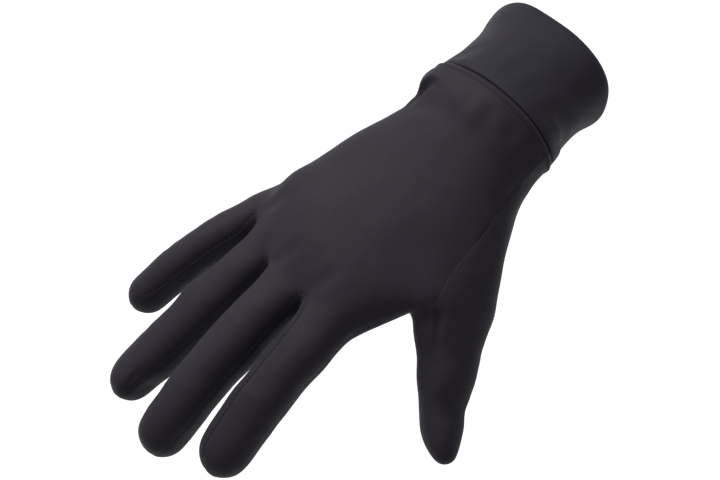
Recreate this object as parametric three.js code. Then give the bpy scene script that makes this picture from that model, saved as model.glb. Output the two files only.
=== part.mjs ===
// A thin stretch running glove for the right hand, filled out as a hand fills it. It is sewn
// from a back panel, a palm panel, a set-in thumb, a side strip (fourchette) between each two
// fingers and a folded cuff. Each piece is one closed wall of fabric.
// Millimetres. +Y runs from the wrist to the fingertips, +Z out of the back of the hand, and
// the thumb is on the -X side. The shape is worked out about the middle of the wrist seam, and
// the group is then moved so that the origin is the middle of the cuff's opening.
import * as THREE from "three";

const { degToRad, radToDeg, lerp, clamp, smoothstep } = THREE.MathUtils;
const vec = (x, y, z) => new THREE.Vector3(x, y, z);
const count = (n) => Array.from({ length: n }, (_, i) => i);

// Fabric
const FABRIC = 1.2; // body fabric with its brushed inside
const CUFF_FABRIC = 2.4; // the cuff is the same fabric folded double
const SEAM_GAP = 0.3; // between neighbouring pieces

// Cuff, from the wrist seam to its opening
const CUFF_LENGTH = 39; // along the middle
const CUFF_OUT = vec(10.9, -34.8, -10); // from the middle of the seam to the middle of the opening
const SEAM_FACES = vec(-0.12, 1, 0.11); // square to the plane of the seam
const OPENING_FACES = vec(-0.157, 1, 0.367); // square to the plane of the opening
//   along: share of the length; wide, high: half sizes, with a waist before the opening flares
const CUFF_PROFILE = [
  { along: 0, wide: 32, high: 23.5 },
  { along: 0.3, wide: 29.5, high: 22.5 },
  { along: 0.6, wide: 29.5, high: 22.8 },
  { along: 1, wide: 31.5, high: 24.7 },
];

// Sections of the hand, from the wrist seam to the knuckles
//   y, x, z: middle; skew, lean: how much y changes with x and with z
//   little, thumb: half width to the little finger's side and the thumb's side
//   up, down: half thickness to the back and the palm; square: 2 is an ellipse, more is boxier
//   dropLittle, dropThumb: how far each side sags; bowLittle, bowThumb: how far it lies back
//   corner, webs: x of the lines that run on to the little finger's back seam and the webs
//   seams: girth angles of the thumb's seams on the back and in the palm
const SECTIONS = [
  { y: 0, x: 0, z: 0, skew: -SEAM_FACES.x, lean: -SEAM_FACES.z, little: 32, thumb: 32, up: 23.5, down: 23.5,
    square: 2, dropLittle: 0, dropThumb: 0, corner: 22, webs: [12, 1, -10], seams: [172, 222] },
  { y: 10, x: 0, z: 0, skew: 0.06, lean: -0.05, little: 33, thumb: 33, up: 23, down: 22,
    square: 2, dropLittle: 0, dropThumb: 2, corner: 23, webs: [13, 1, -10], seams: [169, 226] },
  { y: 18, x: 0, z: 0, little: 28, thumb: 36, up: 20, down: 21,
    square: 2.1, dropLittle: 2, dropThumb: 4, corner: 23, webs: [13, 1.5, -10], seams: [166, 230] },
  { y: 38, x: 1, z: 1, little: 35, thumb: 50, up: 17, down: 18,
    square: 2.2, dropLittle: 4, dropThumb: 10, corner: 28, webs: [17, 4, -12], seams: [152, 240] },
];
const BEYOND_THUMB = { y: 60, x: 1, z: 2, little: 40, thumb: 46, up: 15, down: 16, square: 2.3,
  dropLittle: 8, dropThumb: 6, bowLittle: 4, bowThumb: 2, corner: 32, webs: [20, 5, -14] };
const KNUCKLES = { y: 84, x: 2, z: 1.5, little: 41.5, thumb: 44, up: 15, down: 14, square: 2.5,
  dropLittle: 13, dropThumb: 5, bowLittle: 14, bowThumb: -2, corner: 37, webs: [25, 7.5, -12] };

// Fingers, from the little finger to the index finger, and the thumb
//   knuckle: the joint; yaw: degrees towards the thumb; roll: degrees that the back of the
//   finger leans to the little finger's side; bones: lengths from joint to joint to the tip;
//   bend: degrees down for each bone; wide, high: half sizes at the web, middle joint, end
//   joint and tip; web: from the knuckle to the web on the little finger's and thumb's sides;
//   slope: how much further forward a web is in the palm; cap: tip length in half widths
const FINGERS = [
  { knuckle: vec(34.5, 68, -8), yaw: -23.3, roll: 26, bones: [42, 24, 27], bend: [10, 15, 24],
    wide: [9.6, 9, 8.7, 8.5], high: [9.6, 8.9, 8.4, 7.9], web: [24, 23], slope: 6, cap: 1.05 },
  { knuckle: vec(18.8, 75, -1), yaw: -8.5, roll: 12, bones: [51, 32, 27], bend: [12, 15, 18],
    wide: [10.3, 10.3, 10.2, 9.8], high: [10.6, 9.9, 9.4, 8.9], web: [23, 26], slope: 6, cap: 1.05 },
  { knuckle: vec(-1.2, 78, 3.5), yaw: 1.8, roll: 2, bones: [53, 32, 27], bend: [8, 15, 27],
    wide: [10.7, 10.6, 10.4, 9.9], high: [11, 10.2, 9.6, 9], web: [25, 27], slope: 6, cap: 1.05 },
  { knuckle: vec(-21, 77, 0), yaw: 9.8, roll: -8, bones: [47, 27, 25], bend: [4, 10, 18],
    wide: [11.6, 10.9, 10.6, 10], high: [11.2, 10.2, 9.6, 9], web: [25, 22], slope: 6, cap: 1.05 },
];
const THUMB = { knuckle: vec(-43, 57, -11), yaw: 63, roll: -38, bones: [33, 16, 19], bend: [34, 40, 18],
  wide: [17.6, 11, 8, 7.4], high: [13.5, 10.5, 8.2, 6.8], web: [10.5, 5], slope: 0, cap: 1.6 };
const FINGER_SQUARE = 2.2; // as for the hand's sections
const WEB_ROUND = 8; // length over which two fingers' sides part from their web
const EASING = 6; // rounds of easing where the palm runs into the fingers

// Faces. A quarter of a finger's girth (back, side, palm or side) is QUARTER faces wide.
const QUARTER = 4;
const HALF = QUARTER / 2;
const GIRTH = 4 * QUARTER;
const STEP = 360 / GIRTH; // degrees
const CORNER = 45; // degrees from the middle of a finger's side to the seams above and below
const ROWS = { hand: [3, 3, 4, 4], toKnuckles: 5, toWebs: 5, finger: 9, thumb: 8, tip: 3 };
const CUFF_LANES = 40;
const CUFF_ROWS = 8;

// Girth angles are in degrees: 0 is the little finger's side, 90 the back of the hand, 180 the
// thumb's side and 270 the palm. Cosines and sines on a boxier ellipse:
const powered = (v, square) => Math.sign(v) * Math.abs(v) ** (2 / square);
const across = (angle, square) => powered(Math.cos(degToRad(angle)), square);
const upward = (angle, square) => powered(Math.sin(degToRad(angle)), square);

// One finger or thumb: its length, where its tip starts, where its web is at a girth angle, and
// the point at a girth angle and a distance from the knuckle.
function digit(shape) {
  const yaw = degToRad(shape.yaw);
  const roll = degToRad(shape.roll);
  const level = vec(Math.cos(yaw), Math.sin(yaw), 0);
  const ahead = vec(-Math.sin(yaw), Math.cos(yaw), 0);
  const up = vec(0, 0, Math.cos(roll)).addScaledVector(level, Math.sin(roll));
  const side = ahead.clone().cross(up);
  const joints = [shape.knuckle];
  shape.bones.forEach((bone, i) => {
    const bend = degToRad(shape.bend[i]);
    const way = ahead.clone().multiplyScalar(Math.cos(bend)).addScaledVector(up, -Math.sin(bend));
    joints.push(joints[i].clone().addScaledVector(way, bone));
  });
  const line = new THREE.CatmullRomCurve3(joints, false, "centripetal");
  const length = line.getLength();
  const tip = shape.cap * shape.wide[3];
  const stops = [Math.max(...shape.web), shape.bones[0], shape.bones[0] + shape.bones[1], length];
  const size = (sizes, s) =>
    stops.slice(1).reduce(
      (v, stop, i) => v + (sizes[i + 1] - sizes[i]) * smoothstep(s, stops[i], stop), sizes[0]);
  function webAt(angle) {
    const c = Math.cos(degToRad(angle));
    const down = clamp(0.5 - Math.sin(degToRad(angle)) / (2 * Math.sin(degToRad(CORNER))), 0, 1);
    return lerp(shape.web[1], shape.web[0], (1 + c) / 2) + shape.slope * down;
  }
  function point(angle, s) {
    const t = clamp(s / length, 0, 1);
    const out = side.clone().cross(line.getTangentAt(t));
    const round = Math.sqrt(1 - clamp((s - length + tip) / tip, 0, 1) ** 2);
    return line.getPointAt(t)
      .addScaledVector(side, across(angle, FINGER_SQUARE) * size(shape.wide, s) * round)
      .addScaledVector(out, upward(angle, FINGER_SQUARE) * size(shape.high, s) * round);
  }
  return { length, tip, point, webAt };
}

// The point of a hand section at a girth angle
function sectionPoint(s, angle) {
  const c = across(angle, s.square);
  const x = c * (c > 0 ? s.little : s.thumb);
  const z = upward(angle, s.square) * (Math.sin(degToRad(angle)) > 0 ? s.up : s.down);
  const drop = c * c * (c > 0 ? s.dropLittle : s.dropThumb);
  const bow = c * c * ((c > 0 ? s.bowLittle : s.bowThumb) ?? 0);
  return vec(s.x + x, s.y - bow + (s.skew ?? 0) * x + (s.lean ?? 0) * z, s.z + z - drop);
}

// The points of a section on every line that runs along the hand. The lines start in the middle
// of the little finger's side and go over the back; the thumb's side has sideLanes faces.
function sectionRing(s, seams, sideLanes) {
  const back = [s.corner, ...s.webs].map((x) => {
    const u = (x - s.x) / (x > s.x ? s.little : s.thumb);
    return radToDeg(Math.acos(powered(u, 4 / s.square)));
  });
  const palm = back.map((angle) => 360 - angle).reverse();
  const stops = [0, ...back, ...seams, ...palm, 360];
  const overBack = [HALF, ...count(4).map(() => QUARTER)];
  const lanes = [...overBack, sideLanes, ...overBack.reverse()];
  return lanes.flatMap((n, i) => count(n).map((j) => sectionPoint(s, lerp(stops[i], stops[i + 1], j / n))));
}

// Points on a smooth line through the keys, from one of them to the next
function between(keys, from, rows) {
  const line = new THREE.CatmullRomCurve3(keys, false, "centripetal");
  return count(rows + 1).map((r) => line.getPoint((from + r / rows) / (keys.length - 1)));
}

// The web between two fingers: points from the back of the hand to the palm
function web(finger, neighbour) {
  return count(QUARTER + 1).map((j) => {
    const [mine, theirs] = [CORNER - STEP * j, 180 - CORNER + STEP * j];
    const a = finger.point(mine, finger.webAt(mine));
    return a.lerp(neighbour.point(theirs, neighbour.webAt(theirs)), 0.5);
  });
}

// How far a finger at a girth angle is drawn over to its web
function drawnOver(d, angle, webPoints) {
  if (!webPoints) return vec(0, 0, 0);
  const towardsLittle = Math.cos(degToRad(angle)) > 0;
  const fromBack = ((towardsLittle ? CORNER - angle : angle - 180 + CORNER) + 360) % 360;
  const onSide = fromBack <= 2 * CORNER;
  const j = onSide ? Math.round(fromBack / STEP) : Math.sin(degToRad(angle)) > 0 ? 0 : QUARTER;
  const edge = towardsLittle ? CORNER - STEP * j : 180 - CORNER + STEP * j;
  const share = onSide ? 1 : (Math.cos(degToRad(angle)) / Math.cos(degToRad(CORNER))) ** 2;
  return webPoints[j].clone().sub(d.point(edge, d.webAt(edge))).multiplyScalar(share);
}

// The lines of one digit from its web to its tip, starting at the back seam on the little
// finger's side. A web is null where the digit has none.
function digitLines(d, rows, webLittle, webThumb) {
  const tipStart = d.length - d.tip;
  return count(GIRTH).map((i) => {
    const angle = CORNER + STEP * i;
    const home = d.webAt(angle);
    const over = drawnOver(d, angle, Math.cos(degToRad(angle)) > 0 ? webLittle : webThumb);
    const parting = [0, 0.17, 0.5].map((share) => {
      const left = 1 - Math.sqrt(1 - (1 - share) ** 2);
      return d.point(angle, home + share * WEB_ROUND).addScaledVector(over, left);
    });
    const shaft = count(rows + 1).map((r) => d.point(angle, lerp(home + WEB_ROUND, tipStart, r / rows)));
    const tip = count(ROWS.tip).map((r) =>
      d.point(angle, tipStart + d.tip * Math.sin(((r + 1) / (ROWS.tip + 1)) * (Math.PI / 2))));
    return [...parting, ...shaft, ...tip, d.point(angle, d.length)];
  });
}

const digits = FINGERS.map(digit);
const webs = digits.slice(1).map((d, i) => web(d, digits[i]));
const fingerLines = digits.map((d, i) => digitLines(d, ROWS.finger, webs[i - 1], webs[i]));
const thumbLines = digitLines(digit(THUMB), ROWS.thumb);

// Numbers of the hand's lines: the back seam beside the index finger and the palm seam there
const BACK_SEAM = HALF + 4 * QUARTER;
const PALM_SEAM = BACK_SEAM + QUARTER;
const THUMB_LANES = 3 * QUARTER; // of the thumb's girth, the part that runs back to the wrist

// The finger line that a line of the hand runs on into
function fingerLineOf(i) {
  if (i < HALF) return fingerLines[0][GIRTH - HALF + i];
  if (i < BACK_SEAM) return fingerLines[Math.floor((i - HALF) / QUARTER)][(i - HALF) % QUARTER];
  if (i < PALM_SEAM) return fingerLines[3][QUARTER + i - BACK_SEAM];
  const j = i - PALM_SEAM;
  if (j < 4 * QUARTER) return fingerLines[3 - Math.floor(j / QUARTER)][2 * QUARTER + (j % QUARTER)];
  return fingerLines[0][3 * QUARTER + j - 4 * QUARTER];
}

const wristRings = SECTIONS.map((s) => sectionRing(s, s.seams, THUMB_LANES));
const aside = [180 - CORNER * 0.7, 180 + CORNER * 0.7];
const beyondThumb = sectionRing(BEYOND_THUMB, aside, QUARTER);
const knuckles = sectionRing(KNUCKLES, aside, QUARTER);
const thumbWeb = count(QUARTER + 1).map((j) => thumbLines[(GIRTH - j) % GIRTH][0]);
const handRows = ROWS.hand.reduce((sum, rows) => sum + rows);

// Rows up to the thumb's web, through the sections' keys, and from there to the fingers
const lower = (keys) =>
  ROWS.hand.flatMap((n, k) => between(keys, k, n).slice(k > 0 ? 1 : 0));
const upper = (keys, k) =>
  [...between(keys, k, ROWS.toKnuckles).slice(1), ...between(keys, k + 1, ROWS.toWebs).slice(1)];

// A line of the thumb's root, from the wrist to the thumb
function thumbRoot(t) {
  const ring = thumbLines[t];
  return lower([...wristRings.map((points) => points[BACK_SEAM + t]), ring[0], ring[3]]);
}

const handLines = knuckles.map((knuckle, i) => {
  const finger = fingerLineOf(i);
  const beside = i - BACK_SEAM;
  const inSide = beside >= 0 && beside <= QUARTER;
  const start = i < BACK_SEAM ? i : i + THUMB_LANES - QUARTER;
  const last = [knuckle, finger[0], finger[3]];
  if (!inSide) {
    const keys = [...wristRings.map((points) => points[start]), beyondThumb[i], ...last];
    return [...lower(keys), ...upper(keys, wristRings.length)];
  }
  if (beside === 0 || beside === QUARTER) {
    const t = beside === 0 ? 0 : THUMB_LANES;
    const keys = [wristRings.at(-1)[BACK_SEAM + t], thumbLines[t][0], ...last];
    return [...thumbRoot(t), ...upper(keys, 1)];
  }
  const fromWeb = [thumbWeb[beside], ...last];
  return [...count(handRows).map(() => null), thumbWeb[beside], ...upper(fromWeb, 0)];
});
const thumbRootLines = count(THUMB_LANES + 1).map(thumbRoot);

// The glove's outer surface: corner points shared by the faces, and faces named by piece
const points = [];
const faces = [];
const known = new Map();
function corner(p) {
  const key = [p.x, p.y, p.z].map((v) => Math.round(v * 1e4)).join();
  if (!known.has(key)) {
    known.set(key, points.length);
    points.push(p.clone());
  }
  return known.get(key);
}
// Faces between two neighbouring lines, both running towards the fingertips
function strip(piece, a, b) {
  for (let r = 0; r + 1 < a.length; r++) {
    const ids = [a[r], a[r + 1], b[r + 1], b[r]].map(corner);
    faces.push({ piece, ids: ids.filter((id, i) => id !== ids[(i + 1) % 4]) });
  }
}
handLines.forEach((line, i) => {
  const from = i >= BACK_SEAM && i < PALM_SEAM ? handRows : 0;
  const next = handLines[(i + 1) % handLines.length];
  strip(i < BACK_SEAM + HALF ? "back_panel" : "palm_panel", line.slice(from), next.slice(from));
});
const FOURCHETTES = ["fourchette_ring_little", "fourchette_middle_ring", "fourchette_index_middle"];
fingerLines.forEach((lines, f) => lines.forEach((line, i) => {
  const nearBack = i < QUARTER + HALF || i >= 3 * QUARTER + HALF;
  const side = [null, FOURCHETTES[f], null, FOURCHETTES[f - 1]][Math.floor(i / QUARTER)];
  strip(side ?? (nearBack ? "back_panel" : "palm_panel"), line, lines[(i + 1) % GIRTH]);
}));
thumbRootLines.slice(1).forEach((line, t) => strip("thumb_panel", thumbRootLines[t], line));
thumbLines.forEach((line, i) => strip("thumb_panel", line, thumbLines[(i + 1) % GIRTH]));

// Fabric bridges smoothly from the palm into the digits: these corners are eased towards the
// middle of their neighbours. The webs, the wrist and the sides beside a web keep their place.
const eased = new Set();
const ease = (line) => line.filter(Boolean).forEach((p) => eased.add(corner(p)));
[...handLines, ...thumbRootLines].forEach((line) => ease(line.slice(handRows - 6)));
fingerLines.forEach((lines, f) => lines.forEach((line, i) => {
  const besideThumbWeb = i >= QUARTER && i <= 2 * QUARTER && f < 3;
  const besideLittleWeb = (i >= 3 * QUARTER || i === 0) && f > 0;
  if (!besideThumbWeb && !besideLittleWeb) ease(line.slice(0, 4));
}));
thumbLines.forEach((line) => ease(line.slice(0, 6)));
[...webs.flat(), ...thumbWeb].forEach((p) => eased.delete(corner(p)));
const neighbours = points.map(() => new Set());
for (const { ids } of faces) {
  ids.forEach((id, i) => {
    const next = ids[(i + 1) % ids.length];
    neighbours[id].add(next);
    neighbours[next].add(id);
  });
}
for (let round = 0; round < EASING; round++) {
  const moved = [...eased].map((id) => {
    const middle = vec(0, 0, 0);
    neighbours[id].forEach((other) => middle.add(points[other]));
    return [id, points[id].clone().lerp(middle.divideScalar(neighbours[id].size), 0.5)];
  });
  moved.forEach(([id, p]) => points[id].copy(p));
}

// Outward direction of each face and at each corner
const outward = points.map(() => vec(0, 0, 0));
for (const f of faces) {
  const [a, b, c, d] = f.ids.map((id) => points[id]);
  f.out = d ? c.clone().sub(a).cross(d.clone().sub(b)) : b.clone().sub(a).cross(c.clone().sub(a));
  f.ids.forEach((id) => outward[id].add(f.out));
}
outward.forEach((n) => n.normalize());

function geometry(positions, triangles) {
  const result = new THREE.BufferGeometry();
  const numbers = positions.flatMap((p) => p.toArray());
  result.setAttribute("position", new THREE.Float32BufferAttribute(numbers, 3));
  result.setIndex(triangles);
  result.computeVertexNormals();
  return result;
}

// For each corner on a piece's edge, the way and length by which it is drawn in so that half
// the seam gap is left beside it
function drawnIn(rim) {
  const edges = new Map();
  for (const { a, b, out } of rim) {
    const along = points[b].clone().sub(points[a]).normalize();
    for (const [id, way] of [[a, -1], [b, 1]]) {
      if (!edges.has(id)) edges.set(id, { inward: vec(0, 0, 0), apex: vec(0, 0, 0) });
      edges.get(id).inward.add(out.clone().cross(along).normalize());
      edges.get(id).apex.addScaledVector(along, way);
    }
  }
  return new Map([...edges].map(([id, { inward, apex }]) => {
    const half = inward.length() / 2; // cosine of half the turn of the edge here
    const way = half > 0.35 ? inward.normalize().divideScalar(half) : apex.normalize();
    return [id, way.multiplyScalar(SEAM_GAP / 2)];
  }));
}

// One piece as a closed wall: its outer faces, the same faces one fabric thickness deeper, and
// the edge between them.
function wall(piece) {
  const own = faces.filter((f) => f.piece === piece);
  const edges = new Map();
  for (const { ids, out } of own) {
    ids.forEach((a, i) => {
      const b = ids[(i + 1) % ids.length];
      edges.set(`${a} ${b}`, { a, b, out });
    });
  }
  const rim = [...edges.values()].filter(({ a, b }) => !edges.has(`${b} ${a}`));
  const shifts = drawnIn(rim);
  const ids = [...new Set(own.flatMap((f) => f.ids))];
  const place = new Map(ids.map((id, i) => [id, i]));
  const outer = ids.map((id) => points[id].clone().add(shifts.get(id) ?? vec(0, 0, 0)));
  const inner = ids.map((id, i) => outer[i].clone().addScaledVector(outward[id], -FABRIC));
  const deep = ids.length;
  const triangles = [];
  for (const f of own) {
    const [a, ...rest] = f.ids.map((id) => place.get(id));
    rest.slice(1).forEach((c, i) => {
      const b = rest[i];
      triangles.push(a, b, c, deep + a, deep + c, deep + b);
    });
  }
  for (const edge of rim) {
    const [a, b] = [place.get(edge.a), place.get(edge.b)];
    triangles.push(a, deep + b, b, a, deep + a, deep + b);
  }
  return geometry([...outer, ...inner], triangles);
}

// The point of the cuff at a girth angle, a share of its length and a depth into its fabric
const cuffLine = new THREE.CubicBezierCurve3(
  vec(0, 0, 0), vec(1.2, -9.9, -1.1), vec(9.2, -23.7, -5.9), CUFF_OUT);
function cuffPoint(angle, along, depth) {
  const i = clamp(CUFF_PROFILE.findIndex((row) => row.along >= along), 1, CUFF_PROFILE.length - 1);
  const [a, b] = [CUFF_PROFILE[i - 1], CUFF_PROFILE[i]];
  const share = smoothstep(along, a.along, b.along);
  const ahead = SEAM_FACES.clone().lerp(OPENING_FACES, smoothstep(along, 0, 1)).normalize();
  const side = ahead.clone().cross(vec(0, 0, 1)).normalize();
  const square = lerp(2, 2.3, along);
  return cuffLine.getPointAt(along)
    .addScaledVector(side, across(angle, square) * (lerp(a.wide, b.wide, share) - depth))
    .addScaledVector(side.cross(ahead), upward(angle, square) * (lerp(a.high, b.high, share) - depth));
}

// The cuff: rings down the outside from the seam to the opening, and back up the inside
function cuff() {
  const start = (1.5 * SEAM_GAP) / CUFF_LENGTH;
  const down = count(CUFF_ROWS + 1).map((r) => lerp(start, 1, r / CUFF_ROWS));
  const rings = [...down.map((along) => [along, 0]), ...down.reverse().map((along) => [along, CUFF_FABRIC])];
  const positions = rings.flatMap(([along, depth]) =>
    count(CUFF_LANES).map((i) => cuffPoint((360 * i) / CUFF_LANES, along, depth)));
  const triangles = rings.flatMap((_, r) => count(CUFF_LANES).flatMap((i) => {
    const next = (i + 1) % CUFF_LANES;
    const [here, there] = [r * CUFF_LANES, ((r + 1) % rings.length) * CUFF_LANES];
    return [here + i, here + next, there + next, here + i, there + next, there + i];
  }));
  return geometry(positions, triangles);
}

const knit = new THREE.MeshStandardMaterial({ color: 0x2b292e, roughness: 0.75, metalness: 0 });
const cuffKnit = new THREE.MeshStandardMaterial({ color: 0x2c2a31, roughness: 0.75, metalness: 0 });

const glove = new THREE.Group();
glove.name = "running_glove";
function add(name, shape, material) {
  const mesh = new THREE.Mesh(shape, material);
  mesh.name = name;
  glove.add(mesh);
}
for (const piece of ["back_panel", "palm_panel", "thumb_panel", ...FOURCHETTES]) {
  add(piece, wall(piece), knit);
}
add("cuff", cuff(), cuffKnit);
glove.position.copy(CUFF_OUT).negate();

export default glove;
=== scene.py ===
"""A thin stretch running glove, seen from above its back, held up at the wrist over a pale floor.

The outside of the glove is one smooth skin over the frame's panels. It is folded and creased as
a whole, cut along the seams into its panels, and each panel is given its fabric's thickness.
Metres, in the frame of the part: +Y to the fingertips, +Z out of the back, thumb towards -X.
"""
import heapq
import math
import bmesh
import bpy
import numpy as np
from mathutils import Matrix, Vector, noise
from mathutils.bvhtree import BVHTree


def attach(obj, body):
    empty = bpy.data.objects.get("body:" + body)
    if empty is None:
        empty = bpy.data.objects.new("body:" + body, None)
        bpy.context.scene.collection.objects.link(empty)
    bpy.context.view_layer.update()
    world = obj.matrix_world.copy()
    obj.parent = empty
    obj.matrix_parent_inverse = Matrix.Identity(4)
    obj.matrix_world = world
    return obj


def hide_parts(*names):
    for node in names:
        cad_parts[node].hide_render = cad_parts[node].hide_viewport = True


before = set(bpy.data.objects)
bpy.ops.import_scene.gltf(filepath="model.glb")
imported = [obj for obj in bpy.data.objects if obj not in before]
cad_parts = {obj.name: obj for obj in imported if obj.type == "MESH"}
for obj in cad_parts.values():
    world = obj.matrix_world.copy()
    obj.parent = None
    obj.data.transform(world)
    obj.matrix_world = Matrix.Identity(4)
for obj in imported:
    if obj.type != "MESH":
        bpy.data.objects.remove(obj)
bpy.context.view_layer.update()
MM = 0.001

# Fabric and seams
FABRIC = 1.2 * MM
SEAM_GAP = 0.14 * MM
SEAM_DEPTH = 0.22 * MM  # how far the edges of two panels roll in at their seam
ROLL = 0.35 * MM  # width of the roll
ROLL_SINK = 0.06 * MM  # how far the roll's inner line sinks
TIGHT_FACE = 0.62 * MM  # a face narrower than this has no room for the roll
TIGHT_CORNER = 0.8 * MM  # an edge with corners closer together than this rolls in less
ALLOWANCE = 0.95 * MM  # half width of the sewn edges, which lie inside under each seam
ALLOWANCE_DEPTH = FABRIC + 0.35 * MM  # of their middle, under the outside of the fabric
WRIST_ROLL = 1.25 * MM  # half width of the thicker ones at the wrist
STITCH_PITCH = 2.2 * MM
STITCH_THREAD = 0.11 * MM
WELD = 0.6 * MM  # the rims of two panels of the frame lie closer together than this
WRIST = Vector((-10.9, 34.8, 10)) * MM  # middle of the seam between the hand and the cuff
PANELS = ["back_panel", "palm_panel", "thumb_panel", "fourchette_ring_little",
          "fourchette_middle_ring", "fourchette_index_middle"]
THUMB_WAY = Vector((-0.73, 0.37, -0.57))  # from the thumb's root to its tip
CUFF_RADIUS = 28  # in millimetres, for the cuff's flat pattern

# In millimetres: how deep the wrist's sewn edges lie, and how far towards the cuff
WRIST_ROLL_DEPTH, WRIST_ROLL_SHIFT = 2.3, 0.2

# A stitch, in millimetres: from the seam to its end, its slant, and how deep its ends, its
# shoulders and its middle lie
STITCH_REACH, STITCH_SLANT = 0.75, 0.35
STITCH_ENDS, STITCH_SHOULDERS, STITCH_MIDDLE = 0.42, 0.02, 0.16

# How much a seam is drawn in, as a share
DRAWN, CLEAR, FAINT = 1.0, 0.9, 0.3

# The back seams of the side strips are moved along the skin, in millimetres: down between the
# fingers on the side that faces the thumb, less on the other side, and up on the index finger,
# more so towards its tip
SLIDE_DOWN, SLIDE_OTHER, INDEX_RISE, INDEX_TIP_RISE = 5.0, 1.0, 1.4, 2.4
SLIDE_REACH = 10 * MM  # how far round a seam the skin goes with it
SLIDE_STEPS = 5
TIP_FADE, WEB_FADE = 26 * MM, 12 * MM  # from a tip or a web to where the slide is full

# Where the skin has smaller faces, a clearer seam and fuller digits
FINE_REACH = 3.5 * MM  # round the fine folds
MARK_REACH = 4.5 * MM  # round a mark of the thumb's seam
FINGERS_START = 150 * MM  # along Y

# Fingers from the little finger to the index finger, and the thumb, in millimetres from the
# wrist seam and degrees: knuckle, turn towards the thumb, bones and how far each bends down
FINGERS = [
    ((34.5, 68, -8), -23.3, (42, 24, 27), (10, 15, 24)),
    ((18.8, 75, -1), -8.5, (51, 32, 27), (12, 15, 18)),
    ((-1.2, 78, 3.5), 1.8, (53, 32, 27), (8, 15, 27)),
    ((-21, 77, 0), 9.8, (47, 27, 25), (4, 10, 18)),
]
THUMB = ((-43, 57, -11), 63, (33, 16, 19), (34, 40, 18))

# The camera's own directions and its place, and its picture in pixels
RIGHT = Vector((-0.575, -0.7724, -0.2702)).normalized()
BACK = RIGHT.cross(Vector((0.589, -0.6199, 0.5188))).normalized()
UP = BACK.cross(RIGHT)
EYE = Vector((-0.4408, 0.2110, 0.6155))
LENS, SENSOR = 96.4, 36
ACROSS, DOWN = 720, 480
PIXEL = SENSOR / ACROSS / LENS
GLOVE_AWAY = 0.76  # from the camera to the glove

# Lines on the back of the glove, as pixels of the picture from its upper left corner
PUFF_FOLD = (411, 106), (417, 99), (424, 91), (432, 83), (437, 84)
BELOW_PUFF = (405, 112), (420, 108), (437, 108)
TIP_FOLD = (120, 394), (130, 382), (141, 370)
THUMB_FOLD = (436, 296), (438, 311), (437, 330), (436, 352)
THUMB_SIDE_FOLD = (443, 298), (443, 314), (441, 332)
THUMB_WEB_LINE = (435, 304), (434, 330), (433, 360), (433, 395)
THUMB_SEAM_MARKS = (504, 205), (483, 231)
FINGER_WEBS = (
    ((259, 215), (272, 206), (290, 196)),
    ((270, 266), (286, 254), (304, 240)),
    ((306, 292), (322, 281), (342, 268)))
CUFF_FOLDS = (
    ((452, 60), (470, 50), (488, 44)),
    ((500, 78), (520, 64), (540, 60)),
    ((536, 118), (552, 112), (570, 116)),
    ((548, 145), (562, 142), (576, 136)))

# More lines, each with its width and depth in millimetres
TENDON_HOLLOWS = (
    (((300, 275), (400, 190)), 7, 0.3),
    (((250, 230), (360, 160)), 7, 0.25),
    (((340, 300), (440, 215)), 7, 0.25))
GATHERS = (
    (((470, 92), (462, 112)), 2.6, 0.35),
    (((492, 104), (484, 128)), 3, 0.35),
    (((516, 122), (506, 142)), 2.6, 0.4),
    (((534, 150), (523, 166)), 2.4, 0.4),
    (((538, 178), (519, 186), (500, 205)), 3, 0.5))
THUMB_PULLS = (
    (THUMB_FOLD, 1.1, 0.7),
    (THUMB_SIDE_FOLD, 1.0, 0.35),
    (((444, 292), (452, 270), (466, 248)), 3.5, 0.3),
    (((420, 312), (424, 340), (424, 366)), 2.6, 0.3))

# Bulges, and hollows with a minus: the pixel of each, and its width and height in millimetres
LITTLE_SIDE_BULGES = (
    (133, 285, 7, 0.5), (190, 288, 6, 1.2), (295, 175, 9, 0.8), (297, 176, 10, 2.4))
FINGER_BULGES = (
    (116, 385, 8, 1.0), (118, 398, 5, 0.6), (139, 440, 6, 0.7), (146, 430, 9, 1.2),
    (150, 390, 6, -2.0), (184, 443, 7, -1.1), (206, 432, 8, 0.9), (234, 395, 8, 0.9),
    (240, 377, 8, 1.1), (252, 362, 7, 0.9), (272, 430, 8, -0.6), (304, 392, 9, -1.2),
    (345, 345, 9, 0.4), (393, 320, 8, -1.9))
THUMB_BULGES = (
    (417, 416, 7, 0.9), (418, 330, 6, 0.5), (424, 343, 9, 1.0), (424, 372, 9, 1.1),
    (424, 402, 9, 1.2), (427, 430, 8, 1.1), (444, 459, 6, 0.8), (461, 445, 6, -1.0),
    (428, 316, 5, -0.9))
WRIST_SIDE_BULGES = (
    (491, 312, 10, 0.9), (497, 275, 11, 1.2), (497, 300, 12, 0.7), (506, 238, 10, 1.0),
    (555, 150, 7, -0.5))
PUFF = 428, 74, 8, 1.4
CUFF_BULGES = (602, 92, 15, 1.7), (597, 120, 9, -0.3), (517, 8, 12, 1.6), (490, 24, 14, -1.2)

# The palm's lines, in millimetres from the wrist seam
PALM_LINES = (
    ((-28, 92, -22), (-30, 76, -26), (-22, 58, -26), (-12, 42, -24)),
    ((-30, 94, -20), (-12, 88, -22), (8, 80, -22), (26, 70, -24)),
    ((30, 84, -22), (16, 94, -20), (0, 98, -18), (-14, 104, -16)))

# Creases at a finger's joint, as places along the finger in millimetres: below each with its
# depth, and the shallow ones above
CREASES_BELOW = (-3.2, 0.25), (0.6, 0.4), (4.2, 0.2)
CREASES_ABOVE = -3.5, 2.5


def add(name, data):
    thing = bpy.data.objects.new(name, data)
    bpy.context.scene.collection.objects.link(thing)
    return thing


def rough(bm, name):
    """A bmesh as an object, with a place for each panel's number among its materials."""
    mesh = bpy.data.meshes.new(name)
    for _ in PANELS:
        mesh.materials.append(None)
    bm.to_mesh(mesh)
    bm.free()
    return add(name, mesh)


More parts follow.
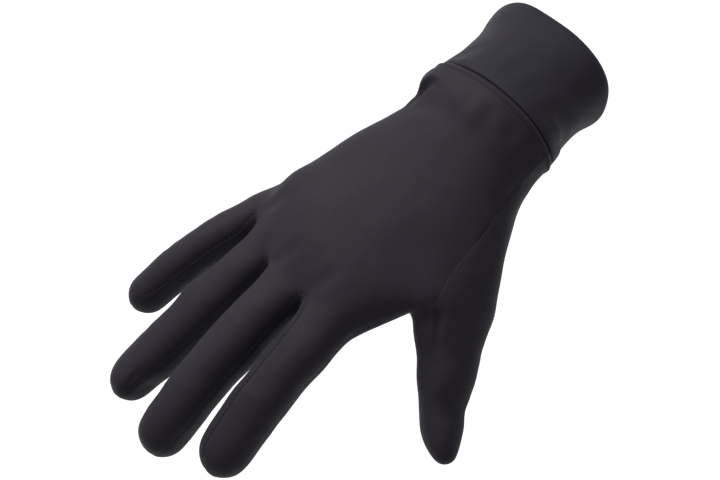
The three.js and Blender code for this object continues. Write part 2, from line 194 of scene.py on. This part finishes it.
def smoothed(bm, name, levels):
    """A rough bmesh's smooth surface, as a new bmesh."""
    form = rough(bm, name)
    smooth = form.modifiers.new("smooth", "SUBSURF")
    smooth.levels = smooth.render_levels = levels
    evaluated = form.evaluated_get(bpy.context.evaluated_depsgraph_get())
    result = bmesh.new()
    result.from_mesh(evaluated.to_mesh())
    evaluated.to_mesh_clear()
    bpy.data.objects.remove(form)
    result.normal_update()
    return result


def finished(bm, name, finish):
    """A bmesh as a smooth-shaded piece with one finish."""
    for f in bm.faces:
        f.material_index = 0
        f.smooth = True
    mesh = bpy.data.meshes.new(name)
    bm.to_mesh(mesh)
    bm.free()
    mesh.materials.append(finish)
    return add(name, mesh)


def look_along(thing, place, back, right):
    up = back.cross(right)
    thing.matrix_world = Matrix((
        (right.x, up.x, back.x, place.x), (right.y, up.y, back.y, place.y),
        (right.z, up.z, back.z, place.z), (0, 0, 0, 1)))


camera = add("camera", bpy.data.cameras.new("camera"))
camera.data.lens = LENS
camera.data.sensor_width = SENSOR
camera.data.clip_start, camera.data.clip_end = 0.01, 20
look_along(camera, EYE, BACK, RIGHT)
bpy.context.scene.camera = camera


# Materials
class Term:
    """A number or colour in a material, so that its maths is written as sums."""

    def __init__(self, finish, socket):
        self.finish, self.socket = finish, socket

    def __add__(self, other):
        return self.finish.maths("ADD", self, other)

    def __sub__(self, other):
        return self.finish.maths("SUBTRACT", self, other)

    def __rsub__(self, other):
        return self.finish.maths("SUBTRACT", other, self)

    def __mul__(self, other):
        return self.finish.maths("MULTIPLY", self, other)

    def __pow__(self, other):
        return self.finish.maths("POWER", self, other)

    __radd__ = __add__
    __rmul__ = __mul__


class Finish:
    """One material and its nodes."""

    def __init__(self, name):
        self.material = bpy.data.materials.new(name)
        self.material.use_nodes = True
        self.shader = self.material.node_tree.nodes["Principled BSDF"]

    def node(self, kind, settings, inputs, output=0):
        made = self.material.node_tree.nodes.new(kind)
        for name, value in settings.items():
            setattr(made, name, value)
        for name, value in inputs.items():
            self.put(made.inputs[name], value)
        return Term(self, made.outputs[output])

    def put(self, socket, value):
        if isinstance(value, Term):
            self.material.node_tree.links.new(value.socket, socket)
        else:
            socket.default_value = value

    def maths(self, operation, a, b):
        return self.node("ShaderNodeMath", {"operation": operation}, {0: a, 1: b})

    def only(self, operation, a):
        return self.node("ShaderNodeMath", {"operation": operation}, {0: a})

    def cloud(self, scale, detail=2.0):
        where = self.node("ShaderNodeTexCoord", {}, {}, "Object")
        inputs = {"Vector": where, "Scale": scale, "Detail": detail}
        return self.node("ShaderNodeTexNoise", {}, inputs, "Fac")

    def blend(self, share, low, high):
        mix = {"data_type": "RGBA"}
        return self.node("ShaderNodeMix", mix, {"Factor": share, 6: (*low, 1), 7: (*high, 1)}, 2)

    def set(self, **values):
        for name, value in values.items():
            self.put(self.shader.inputs[name.replace("_", " ")], value)


def knit_finish(name, dark, light, wale, course, relief):
    """Fine jersey: columns of stitches (wales) run along the piece, in rows one course apart."""
    f = Finish(name)
    flat = f.node("ShaderNodeUVMap", {"uv_map": "cut"}, {})
    across = f.node("ShaderNodeSeparateXYZ", {}, {"Vector": flat}, "X")
    along = f.node("ShaderNodeSeparateXYZ", {}, {"Vector": flat}, "Y")
    yarn = f.cloud(900.0)
    column = f.only("ABSOLUTE", f.only("FRACT", across * (1 / wale)) - 0.5) * 2
    row = f.only("FRACT", along * (1 / course) + column * 0.9 + yarn * 0.25)
    loop = 1 - (row * 2 - 1) ** 2
    height = loop * 0.55 + (1 - column ** 3) * 0.45 + yarn * 0.35
    broad = f.cloud(26.0)
    lint = f.node("ShaderNodeMapRange", {}, {
        "Value": f.cloud(2600.0, 1.0), "From Min": 0.68, "From Max": 0.8, "To Max": 0.35})
    # colour: random broad tone and lint flecks, plus painted shade from the knit's relief, darker in the
    # grooves between loops and lighter on the raised loops
    tone_and_groove_shade = broad * 0.55 + height * 0.3 + lint * 0.5
    colour = f.blend(tone_and_groove_shade, dark, light)
    bump = f.node("ShaderNodeBump", {}, {"Strength": relief, "Distance": 0.14 * MM, "Height": height})
    f.set(Base_Color=colour, Normal=bump, Roughness=0.5 + broad * 0.12 + yarn * 0.12)
    f.set(Sheen_Weight=0.04, Sheen_Roughness=0.35, Sheen_Tint=(0.9, 0.86, 1, 1), Specular_IOR_Level=0.12)
    return f.material


def edge_finish():
    """The cut and sewn edges, which lie inside."""
    f = Finish("sewn_edges")
    fuzz = f.cloud(1400.0)
    bump = f.node("ShaderNodeBump", {}, {"Strength": 0.5, "Distance": 0.1 * MM, "Height": fuzz})
    f.set(Base_Color=f.blend(fuzz, (0.007, 0.0058, 0.009), (0.018, 0.015, 0.022)), Normal=bump)
    f.set(Roughness=0.6 + fuzz * 0.15, Specular_IOR_Level=0.2)
    return f.material


def thread_finish():
    f = Finish("sewing_thread")
    twist = f.cloud(3200.0)
    bump = f.node("ShaderNodeBump", {}, {"Strength": 0.4, "Distance": 0.05 * MM, "Height": twist})
    f.set(Base_Color=f.blend(twist, (0.005, 0.0045, 0.0065), (0.020, 0.018, 0.024)), Normal=bump)
    f.set(Roughness=0.42 + twist * 0.15, Sheen_Weight=0.05, Specular_IOR_Level=0.3)
    return f.material


BODY_KNIT = knit_finish(
    "body_knit", dark=(0.0072, 0.0057, 0.0092), light=(0.0182, 0.0150, 0.0225),
    wale=0.62 * MM, course=0.5 * MM, relief=0.5)
CUFF_KNIT = knit_finish(
    "cuff_knit", dark=(0.0074, 0.0060, 0.0102), light=(0.0190, 0.0158, 0.0245),
    wale=0.7 * MM, course=0.55 * MM, relief=0.6)
EDGES = edge_finish()
THREAD = thread_finish()


# The skin
def sheets(faces):
    """The separate sheets that faces form, as lists of faces, the largest last."""
    left, found = set(faces), []
    for start in faces:
        if start not in left:
            continue
        left.discard(start)
        sheet, waiting = [], [start]
        while waiting:
            face = waiting.pop()
            sheet.append(face)
            for e in face.edges:
                for other in e.link_faces:
                    if other in left:
                        left.discard(other)
                        waiting.append(other)
        found.append(sheet)
    return sorted(found, key=lambda sheet: sum(f.calc_area() for f in sheet))


def outside(node):
    """The outer sheet of a panel's wall, as four-sided faces. Each face of the wall's edge has an
    edge as long as the fabric is thick, and a few others may have one too. Without all of them
    the outer sheet is the largest one left, and it gets back the faces that lie between its own
    corners."""
    bm = bmesh.new()
    bm.from_mesh(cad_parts[node].data)
    bmesh.ops.remove_doubles(bm, verts=bm.verts, dist=1e-6)
    through = {e for e in bm.edges if abs(e.calc_length() - FABRIC) < 0.003 * MM}
    *inner, outer = sheets([f for f in bm.faces if through.isdisjoint(f.edges)])
    corners = {v for f in outer for v in f.verts}
    edge = [f for f in bm.faces if not through.isdisjoint(f.edges) and not corners.issuperset(f.verts)]
    bmesh.ops.delete(bm, geom=edge, context="FACES")
    bmesh.ops.delete(bm, geom=[f for sheet in inner for f in sheet], context="FACES")
    bmesh.ops.join_triangles(
        bm, faces=bm.faces, angle_face_threshold=math.pi, angle_shape_threshold=math.pi)
    return bm


def slit(bm, way):
    """Cuts a tube's pattern open: marks the shortest line of edges from its tip to its root."""
    tip = max(bm.verts, key=lambda v: v.co.dot(way))
    length, before = {tip: 0}, {}
    heap = [(0, tip.index, tip)]
    while heap:
        so_far, _, v = heapq.heappop(heap)
        for e in v.link_edges:
            other = e.other_vert(v)
            total = so_far + e.calc_length()
            if total < length.get(other, math.inf):
                length[other], before[other] = total, e
                heapq.heappush(heap, (total, other.index, other))
    under = [v for v in bm.verts if v.is_boundary and v.normal.z < -0.3]
    v = min(under, key=lambda v: length[v])
    while v in before:
        before[v].seam = True
        v = before[v].other_vert(v)


def flatten(thing, way):
    """Gives a panel its flat pattern, the map 'cut', true to size in metres and with way up.
    Returns the pattern's width and length."""
    bpy.context.view_layer.objects.active = thing
    thing.select_set(True)
    thing.data.uv_layers.new(name="cut")
    bpy.ops.object.mode_set(mode="EDIT")
    bpy.ops.mesh.select_all(action="SELECT")
    bpy.ops.uv.unwrap(method="ANGLE_BASED", margin=0)
    bpy.ops.object.mode_set(mode="OBJECT")
    thing.select_set(False)
    bm = bmesh.new()
    bm.from_mesh(thing.data)
    layer = bm.loops.layers.uv["cut"]
    flat_area = true_area = 0
    for f in bm.faces:
        ring = [loop[layer].uv for loop in f.loops]
        flat_area += abs(sum(a.x * b.y - a.y * b.x for a, b in zip(ring, ring[1:] + ring[:1]))) / 2
        true_area += f.calc_area()
    size = math.sqrt(true_area / flat_area)
    loops = [loop for f in bm.faces for loop in f.loops]
    uv = np.array([loop[layer].uv for loop in loops], float)
    uv -= uv.mean(0)
    if way is None:  # a strip: its length is up
        up = np.linalg.svd(uv, full_matrices=False)[2][0]
    else:
        heights = np.array([loop.vert.co.dot(way) for loop in loops])
        up = np.linalg.lstsq(uv, heights - heights.mean(), rcond=None)[0]
    up /= np.linalg.norm(up)
    uv = np.stack([uv @ (up[1], -up[0]), uv @ up], 1) * size
    for loop, place in zip(loops, uv):
        loop[layer].uv = place
    bm.to_mesh(thing.data)
    bm.free()
    return np.ptp(uv, 0)


def sewn_skin():
    """One smooth surface over the outside of all the panels, and the panels' flat sizes. A face's
    material number says which panel it belongs to."""
    fingers_way = Vector((0, 1, 0))
    ways = {"back_panel": fingers_way, "palm_panel": fingers_way, "thumb_panel": THUMB_WAY}
    skin, patterns = bmesh.new(), {}
    for number, name in enumerate(PANELS):
        bm = outside(name)
        bm.normal_update()
        bm.verts.index_update()
        if name == "thumb_panel":
            slit(bm, THUMB_WAY)
        for f in bm.faces:
            f.material_index = number
            f.smooth = True
        part = rough(bm, name + "_outside")
        patterns[name] = flatten(part, ways.get(name))
        skin.from_mesh(part.data)
        bpy.data.objects.remove(part)
    rims = [v for v in skin.verts if v.is_boundary]
    bmesh.ops.remove_doubles(skin, verts=rims, dist=WELD)
    return smoothed(skin, "skin", 2), patterns


# Folds and creases
def joints(finger):
    """A finger's joints, from its knuckle to its tip, and which way it points, seen from above."""
    knuckle, turn, bones, bends = finger
    turn = math.radians(turn)
    ahead = Vector((-math.sin(turn), math.cos(turn), 0))
    line = [Vector(knuckle) * MM + WRIST]
    for bone, bend in zip(bones, bends):
        bend = math.radians(bend)
        line.append(line[-1] + (ahead * math.cos(bend) - Vector((0, 0, math.sin(bend)))) * bone * MM)
    return line, ahead


class Drape:
    """The skin's points as they are pushed in and out."""

    def __init__(self, skin):
        self.skin = skin
        skin.verts.ensure_lookup_table()
        self.tree = BVHTree.FromBMesh(skin)
        self.co = np.array([v.co for v in skin.verts])
        self.out = np.array([v.normal for v in skin.verts])
        self.push = np.zeros(len(self.co))

    def seen(self, x, y):
        """The point of the skin at a pixel of the picture."""
        way = (RIGHT * (x - ACROSS / 2) + UP * (DOWN / 2 - y)) * PIXEL - BACK
        hit = self.tree.ray_cast(EYE, way.normalized())[0]
        if hit is None:
            hit = self.nearest(EYE + way * GLOVE_AWAY)
        return hit

    def nearest(self, point):
        return self.tree.find_nearest(point)[0]

    def hit(self, inside, way):
        """The skin straight above (way 1) or below (way -1) a point inside a finger."""
        return self.tree.ray_cast(inside, Vector((0, 0, way)))[0] or self.nearest(inside)

    def line(self, points):
        """For each point of the skin, how far it is from a line and how far along it is (0 to 1),
        and on which side."""
        corners = np.array(points)
        lengths = np.linalg.norm(np.diff(corners, axis=0), axis=1)
        best = np.full(len(self.co), np.inf)
        share = np.zeros(len(self.co))
        side = np.zeros(len(self.co))
        done = 0
        for a, b, length in zip(corners, corners[1:], lengths):
            if length == 0:
                continue
            t = np.clip((self.co - a) @ (b - a) / length**2, 0, 1)
            away = self.co - (a + t[:, None] * (b - a))
            far = np.linalg.norm(away, axis=1)
            near = far < best
            best[near] = far[near]
            share[near] = ((done + t * length) / lengths.sum())[near]
            side[near] = np.sign(np.einsum("ij,ij->i", np.cross(b - a, self.out), away))[near]
            done += length
        return best, share, side

    def fold(self, points, width, depth, lift=0.45, lean=0.0):
        """A groove along a line with raised banks. With lean the bank on one side is the higher."""
        far, share, side = self.line(points)
        fade = np.sin(np.pi * np.clip(share, 0.02, 0.98)) ** 0.6
        groove = np.exp(-(far / width) ** 2)
        bank = np.exp(-((far - 1.9 * width) / (0.9 * width)) ** 2) * (1 + lean * side)
        self.push += depth * fade * (lift * bank - groove)

    def crease(self, pixels, width, depth, lift=0.45, lean=0.0):
        """A fold along a line of pixels, in millimetres."""
        self.fold([self.seen(*p) for p in pixels], width * MM, depth * MM, lift, lean)

    def bulge(self, x, y, width, height):
        """A soft bulge at a pixel, in millimetres, or a hollow if its height is negative."""
        far = np.linalg.norm(self.co - np.array(self.seen(x, y)), axis=1)
        self.push += height * MM * np.exp(-(far / (width * MM)) ** 2)

    def rise(self, far, middle, width, height):
        """A rounded ridge at a distance from a line, where far is how far each point is from it."""
        self.push += height * np.exp(-((far - middle) / width) ** 2)

    def ripple(self, scale, height, mask=1.0, offset=0.0):
        """Soft uneven waves all over, or where mask says."""
        shift = Vector((offset, 2 * offset, -offset))
        waves = [noise.noise(Vector(c) * scale + shift) for c in self.co]
        self.push += height * np.array(waves) * mask

    def settle(self):
        """Moves the skin by what has been pushed so far."""
        self.co += self.out * self.push[:, None]
        self.push[:] = 0
        for v, c in zip(self.skin.verts, self.co):
            v.co = c
        self.skin.normal_update()
        self.out = np.array([v.normal for v in self.skin.verts])
        self.tree = BVHTree.FromBMesh(self.skin)


def seam_edges(skin):
    return [e for e in skin.edges if len({f.material_index for f in e.link_faces}) == 2]


def chains(edges):
    """Edges in order from end to end, as lists of their corners. A closed one ends where it starts."""
    at = {}
    for e in edges:
        for v in e.verts:
            at.setdefault(v, []).append(e)
    left = set(edges)
    ends = [v for v, there in at.items() if len(there) != 2]
    runs = []
    for v in [*ends, *at]:
        for first in at[v]:
            if first not in left:
                continue
            run, here, e = [v], v, first
            while e in left:
                left.discard(e)
                here = e.other_vert(here)
                run.append(here)
                if len(at[here]) != 2:
                    break
                e = next((x for x in at[here] if x in left), e)
            runs.append(run)
    return runs


def wrist_run(skin):
    """The skin's open end at the wrist, as a closed run of corners."""
    return chains([e for e in skin.edges if e.is_boundary])[0]


def back_seam(skin, strip):
    """A side strip's seam with the back panel, from the side of the finger that faces the thumb,
    over the web and along the next finger."""
    pair = {PANELS.index("back_panel"), strip}
    edges = [e for e in seam_edges(skin) if {f.material_index for f in e.link_faces} == pair]
    run = max(chains(edges), key=len)
    if run[0].co.x < run[-1].co.x:
        run.reverse()
    return run


def way_into(skin, strip, run, i):
    """The way from a corner of a seam into its side strip."""
    into = Vector()
    for a, b in zip(run[max(i - 1, 0):i + 1], run[max(i, 1):i + 2]):
        e = skin.edges.get((a, b))
        face = next(f for f in e.link_faces if f.material_index == strip)
        along = (b.co - a.co).normalized()
        way = face.calc_center_median() - (a.co + b.co) / 2
        into += way - along * way.dot(along)
    return into.normalized()


def seam_slides(skin, strip, sewn):
    """How far, and which way, each corner of a side strip's back seam goes. The seam on the
    index finger is also marked as fully drawn in."""
    run = back_seam(skin, strip)
    lengths = [(a.co - b.co).length for a, b in zip(run, run[1:])]
    place = np.concatenate([[0], np.cumsum(lengths)])
    web = place[min(range(len(run)), key=lambda i: run[i].co.y)]
    slides = {}
    for i, v in enumerate(run):
        faces_thumb = place[i] < web
        end = min(place[i], place[-1] - place[i])
        end = min(1, end / (TIP_FADE if faces_thumb else SLIDE_REACH))
        fade = min(1, abs(place[i] - web) / WEB_FADE) * end * end * (3 - 2 * end)
        if faces_thumb:
            amount = SLIDE_DOWN
        elif PANELS[strip] == "fourchette_index_middle":
            amount = -INDEX_RISE - INDEX_TIP_RISE * (place[i] - web) / (place[-1] - web)
            v[sewn] = DRAWN
        else:
            amount = SLIDE_OTHER
        slides[v] = way_into(skin, strip, run, i) * amount * fade * MM
    return slides


def spread(slides):
    """The slides of all the corners within reach of a seam, each that of the seam's nearest
    corner, and how far they are from it along the skin."""
    slides = dict(slides)
    far = dict.fromkeys(slides, 0)
    heap = [(0, v.index, v) for v in slides]
    heapq.heapify(heap)
    while heap:
        so_far, _, v = heapq.heappop(heap)
        for e in v.link_edges:
            other = e.other_vert(v)
            total = so_far + e.calc_length()
            if total < far.get(other, SLIDE_REACH):
                far[other], slides[other] = total, slides[v]
                heapq.heappush(heap, (total, other.index, other))
    return slides, far


def slid(tree, spot, way):
    """Where a point of the skin comes to when it is moved along the skin."""
    step = way / SLIDE_STEPS
    for _ in range(SLIDE_STEPS):
        out = tree.find_nearest(spot)[1]
        level = step - out * step.dot(out)
        if level.length > 1e-9:
            spot = tree.find_nearest(spot + level.normalized() * step.length)[0]
    return spot


def slide(skin):
    """Moves the back seams of the side strips round the fingers. On the side that faces the
    thumb they go down between the fingers, and on the index finger up towards its back."""
    sewn = skin.verts.layers.float.new("sewn")
    for v in skin.verts:
        v[sewn] = DRAWN if v.is_boundary else FAINT
    tree = BVHTree.FromBMesh(skin)
    for strip, name in enumerate(PANELS):
        if "fourchette" in name:
            slides, far = spread(seam_slides(skin, strip, sewn))
            moved = {}
            for v, way in slides.items():
                share = math.cos(math.pi / 2 * far[v] / SLIDE_REACH) ** 2
                moved[v] = slid(tree, v.co, way * share)
            for v, spot in moved.items():
                v.co = spot
    skin.normal_update()


def refine(skin, lines, reach):
    """Gives the skin smaller faces where it has fine folds, and at the wrist."""
    d = Drape(skin)
    near = d.line([v.co for v in wrist_run(skin)[::3]])[0] < reach
    for line in lines:
        near |= d.line([d.seen(*p) for p in line])[0] < reach
    edges = [e for e in skin.edges if near[e.verts[0].index] and near[e.verts[1].index]]
    bmesh.ops.subdivide_edges(skin, edges=edges, cuts=1, use_grid_fill=True)
    skin.verts.index_update()
    skin.normal_update()


def mark_thumb_seam(d):
    """The thumb's seam shows clearly in two places only."""
    sewn = d.skin.verts.layers.float["sewn"]
    for mark in THUMB_SEAM_MARKS:
        point = d.seen(*mark)
        for v in d.skin.verts:
            if (v.co - point).length < MARK_REACH:
                v[sewn] = CLEAR


def fill_out(d):
    """Long soft waves over the back and palm, shallower ones on the fingers, and fuller digits."""
    y = d.co[:, 1]
    hand = np.clip((FINGERS_START - y) / (40 * MM), 0, 1)
    d.ripple(38, 0.85 * MM, hand)
    d.ripple(75, 0.32 * MM, offset=3.1)
    d.ripple(170, 0.10 * MM, offset=7.7)
    d.push += 0.3 * MM * np.clip((y - FINGERS_START) / (15 * MM), 0, 1)
    for bulge in LITTLE_SIDE_BULGES + FINGER_BULGES + THUMB_BULGES + WRIST_SIDE_BULGES:
        d.bulge(*bulge)


def fold_back(d):
    """The folds that show on the back, at the cuff, the fingers' webs and the thumb."""
    for pixels, width, depth in TENDON_HOLLOWS:
        d.crease(pixels, width, depth, 0.5)
    # the fabric puffs out beside the cuff on the little finger's side, over a sharp fold
    d.bulge(*PUFF)
    d.crease(PUFF_FOLD, 1.6, 1.0, 0.6, -0.5)
    d.crease(BELOW_PUFF, 3, 0.5, 0.5)
    d.crease(TIP_FOLD, 1.3, 0.35, 0.5)
    # it rises in a narrow roll where it is sewn to the cuff
    far = d.line([v.co for v in wrist_run(d.skin)[::3]])[0]
    d.rise(far, 1.4 * MM, 0.85 * MM, 0.6 * MM)
    for pixels, width, depth in GATHERS + THUMB_PULLS:
        d.crease(pixels, width, depth)
    d.crease(THUMB_WEB_LINE, 3.4, 1.1, 0.5, 0.8)
    for pixels in FINGER_WEBS:
        d.crease(pixels, 2.6, 0.35)


def crease_fingers(d):
    """Creases across the palm side of each joint, and slack on its back."""
    for i, finger in enumerate([*FINGERS, THUMB]):
        line, ahead = joints(finger)
        level = ahead.cross(Vector((0, 0, 1)))
        for j, joint in enumerate(line[1:3]):
            for step, depth in CREASES_BELOW:
                middle = joint + ahead * (step + 0.7 * math.sin(3 * i + 5 * j + step)) * MM
                across = [d.hit(middle + level * s * MM, -1) for s in (-6, -2, 2, 6)]
                d.fold(across, 1.6 * MM, depth * MM)
            for step in CREASES_ABOVE:
                middle = joint + ahead * (step + math.sin(7 * i + 3 * j + step)) * MM
                across = [d.hit(middle + level * s * MM, 1) for s in (-5, 0, 5)]
                d.fold(across, 2 * MM, 0.12 * MM)


def pucker_seams(d):
    """The fabric rises a little beside each seam, in uneven puckers."""
    for run in chains(seam_edges(d.skin)):
        if len(run) > 8:
            far = d.line([v.co for v in run[::3]] + [run[-1].co])[0]
            d.rise(far, 1.9 * MM, 1.2 * MM, 0.07 * MM)
            near = far < 7 * MM
            waves = np.zeros(len(far))
            waves[near] = [noise.noise(Vector(c) * 150) for c in d.co[near]]
            d.push += 0.14 * MM * waves * np.exp(-(far / (3 * MM)) ** 2)


def drape(skin):
    """Gives the skin its folds, first the large ones and then the puckers on top of them."""
    refine(skin, [PUFF_FOLD, THUMB_FOLD, THUMB_SIDE_FOLD, TIP_FOLD], FINE_REACH)
    d = Drape(skin)
    mark_thumb_seam(d)
    fill_out(d)
    fold_back(d)
    crease_fingers(d)
    for line in PALM_LINES:
        d.fold([d.nearest(Vector(p) * MM + WRIST) for p in line], 2.2 * MM, 0.6 * MM)
    d.settle()
    pucker_seams(d)
    d.settle()


# Panels, cuff, sewn edges and stitches
def shortest(edges):
    return min(e.calc_length() for e in edges)


def panel(skin, number, name, finish):
    """Cuts one panel out of the skin, rolls its edge in and gives it its thickness."""
    bm = skin.copy()
    bmesh.ops.delete(bm, geom=[f for f in bm.faces if f.material_index != number], context="FACES")
    bm.normal_update()
    # draw the edge back by half the gap, less where the seam is faint or the corners are crowded
    sewn = bm.verts.layers.float["sewn"]
    inward = {v: Vector() for v in bm.verts if v.is_boundary}
    for e in bm.edges:
        if e.is_boundary:
            loop = e.link_loops[0]
            along = (loop.link_loop_next.vert.co - loop.vert.co).normalized()
            for v in e.verts:
                inward[v] += e.link_faces[0].normal.cross(along)
    moves = []
    for v, way in inward.items():
        room = shortest(v.link_edges)
        back = way.normalized() * min(SEAM_GAP / 2 * v[sewn], room * 0.3)
        moves.append((v, back - v.normal * SEAM_DEPTH * v[sewn] * min(1, room / TIGHT_CORNER)))
    # one more row of faces close to the edge, for the roll
    bmesh.ops.inset_region(
        bm, faces=[f for f in bm.faces if shortest(f.edges) > TIGHT_FACE], thickness=ROLL,
        use_boundary=True, use_even_offset=False)
    for v, move in moves:
        v.co += move
    beside = {e.other_vert(v) for v in inward for e in v.link_edges}
    for v in beside:
        if not v.is_boundary:
            v.co -= v.normal * ROLL_SINK
    piece = finished(bm, name, finish)
    wall = piece.modifiers.new("fabric", "SOLIDIFY")
    wall.thickness, wall.offset = FABRIC, -1
    return piece


def cuff_pattern(bm, axis, level, over):
    """Gives the cuff its flat pattern: round the cuff is across, and along its axis is up."""
    layer = bm.loops.layers.uv.new("cut")
    for f in bm.faces:
        first = None
        for loop in f.loops:
            p = loop.vert.co
            angle = math.atan2(p.dot(over), p.dot(level))
            if first is None:
                first = angle
            angle += 2 * math.pi * round((first - angle) / (2 * math.pi))
            loop[layer].uv = (angle * CUFF_RADIUS * MM, p.dot(axis))


def fold_over_cuff():
    """The cuff: a band folded double, soft at its rim and sewn on at the wrist."""
    bm = bmesh.new()
    bm.from_mesh(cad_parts["cuff"].data)
    bmesh.ops.remove_doubles(bm, verts=bm.verts, dist=1e-6)
    bmesh.ops.join_triangles(
        bm, faces=bm.faces, angle_face_threshold=math.pi, angle_shape_threshold=math.pi)
    bm = smoothed(bm, "cuff_form", 3)
    axis = WRIST.normalized()
    level = axis.cross(Vector((0, 0, 1))).normalized()
    over = level.cross(axis)
    d = Drape(bm)
    along = d.co @ np.array(axis) / WRIST.length
    turn = np.arctan2(d.co @ np.array(over), d.co @ np.array(level))
    soft = np.clip(along * 4, 0.3, 1) * np.clip((1.05 - along) * 6, 0, 1)
    d.ripple(42, 0.7 * MM, soft)
    d.ripple(110, 0.18 * MM, soft, 2.2)
    # the sewn end is gathered a little, and both its layers swell beside the seam
    near = np.exp(-((along - 0.93) / 0.06) ** 2)
    d.push += near * (0.3 + 0.05 * np.sin(turn * 31 + 2 * np.sin(turn * 5))) * MM
    for bulge in CUFF_BULGES:
        d.bulge(*bulge)
    for pixels in CUFF_FOLDS:
        d.crease(pixels, 3.2, 0.4)
    d.settle()
    cuff_pattern(bm, axis, level, over)
    return finished(bm, "folded_cuff", CUFF_KNIT)


def tubes(name, lines, radius, finish, round_off=2):
    """Round threads or rolls along lines of points, as one closed mesh."""
    curve = bpy.data.curves.new(name, "CURVE")
    curve.dimensions = "3D"
    curve.bevel_depth = radius
    curve.bevel_resolution = round_off
    curve.use_fill_caps = True
    for points, closed in lines:
        spline = curve.splines.new("POLY")
        spline.points.add(len(points) - 1)
        spline.points.foreach_set("co", [c for p in points for c in (*p, 1)])
        spline.use_cyclic_u = closed
    form = add(name + "_form", curve)
    evaluated = form.evaluated_get(bpy.context.evaluated_depsgraph_get())
    bm = bmesh.new()
    bm.from_mesh(evaluated.to_mesh())
    evaluated.to_mesh_clear()
    bpy.data.objects.remove(form)
    bmesh.ops.remove_doubles(bm, verts=bm.verts, dist=1e-7)
    bmesh.ops.recalc_face_normals(bm, faces=bm.faces)
    return finished(bm, name, finish)


def stations(run, pitch):
    """Places at an even pitch along a run of corners: each is a point, the way out and the way ahead."""
    total, found = 0, []
    for a, b in zip(run, run[1:]):
        length = (b.co - a.co).length
        ahead = (b.co - a.co).normalized()
        while len(found) * pitch <= total + length:
            t = (len(found) * pitch - total) / max(length, 1e-9)
            found.append((a.co.lerp(b.co, t), a.normal.lerp(b.normal, t).normalized(), ahead))
        total += length
    return found


def stitch(point, out, ahead):
    """One stitch over a seam: its thread comes up out of one panel and goes down into the next."""
    side = ahead.cross(out) * STITCH_REACH * MM
    slant = ahead * STITCH_SLANT * MM
    ends = out * STITCH_ENDS * MM
    shoulders = out * STITCH_SHOULDERS * MM
    return [
        point - side - slant - ends,
        point - side * 0.8 - slant * 0.8 - shoulders,
        point - out * STITCH_MIDDLE * MM,
        point + side * 0.8 + slant * 0.8 - shoulders,
        point + side + slant - ends]


# The pieces
skin, patterns = sewn_skin()
slide(skin)
drape(skin)
seams = [run for run in chains(seam_edges(skin)) if len(run) > 3]
under_seams = [([v.co - v.normal * ALLOWANCE_DEPTH for v in run], False) for run in seams]
spots = [spot for run in seams for spot in stations(run, STITCH_PITCH)[1:-1]]
to_cuff = -WRIST.normalized() * WRIST_ROLL_SHIFT * MM
under_wrist = [v.co - v.normal * WRIST_ROLL_DEPTH * MM + to_cuff for v in wrist_run(skin)[:-1]]

cloths = []
for number, name in enumerate(PANELS):
    piece = panel(skin, number, name + "_cloth", BODY_KNIT)
    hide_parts(name)
    cloths.append(piece)
cuff = fold_over_cuff()
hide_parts("cuff")
allowances = tubes("seam_allowances", under_seams, ALLOWANCE, EDGES)
wrist_roll = tubes("wrist_seam_roll", [(under_wrist, True)], WRIST_ROLL, EDGES, 3)
stitches = tubes("seam_stitches", [(stitch(*spot), False) for spot in spots], STITCH_THREAD, THREAD, 1)
for piece in [*cloths, cuff, allowances, wrist_roll, stitches]:
    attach(piece, "root")

for number, (name, piece) in enumerate(zip(PANELS, cloths)):
    area = sum(f.calc_area() for f in skin.faces if f.material_index == number)
    width, length = (float(side) for side in patterns[name])
    if "fourchette" in name:  # a curved strip: as wide as its area and length make it
        width = 1.1 * area / length
skin.free()


# Floor, lights and surroundings
def lay_floor():
    bm = bmesh.new()
    bmesh.ops.create_grid(bm, x_segments=1, y_segments=1, size=4)
    bmesh.ops.translate(bm, verts=bm.verts, vec=(0, 0, -0.6))
    finish = Finish("pale_floor")
    finish.set(Base_Color=(0.78, 0.78, 0.78, 1), Roughness=0.9, Specular_IOR_Level=0.2)
    finished(bm, "floor", finish.material)


def lamp(name, place, target, size, power):
    light = add(name, bpy.data.lights.new(name, "AREA"))
    light.data.shape = "DISK"
    light.data.size = size
    light.data.energy = power
    back = (place - target).normalized()
    look_along(light, place, back, Vector((0, 0, 1)).cross(back).normalized())


lay_floor()
MIDDLE = Vector((-0.01, 0.105, 0))
over_the_cuff = MIDDLE + (UP - RIGHT * 0.5 + BACK * 0.28).normalized() * 4
lamp("key", over_the_cuff, MIDDLE, size=2.2, power=208)
lamp("top", MIDDLE + Vector((0.6, 0.1, 3.4)), MIDDLE, size=2.4, power=26)
world = bpy.data.worlds.new("room")
world.use_nodes = True
surroundings = world.node_tree.nodes["Background"]
surroundings.inputs["Color"].default_value = (1, 1, 1, 1)
surroundings.inputs["Strength"].default_value = 0.47
bpy.context.scene.world = world
bpy.context.scene.view_settings.view_transform = "Standard"

bpy.context.view_layer.update()
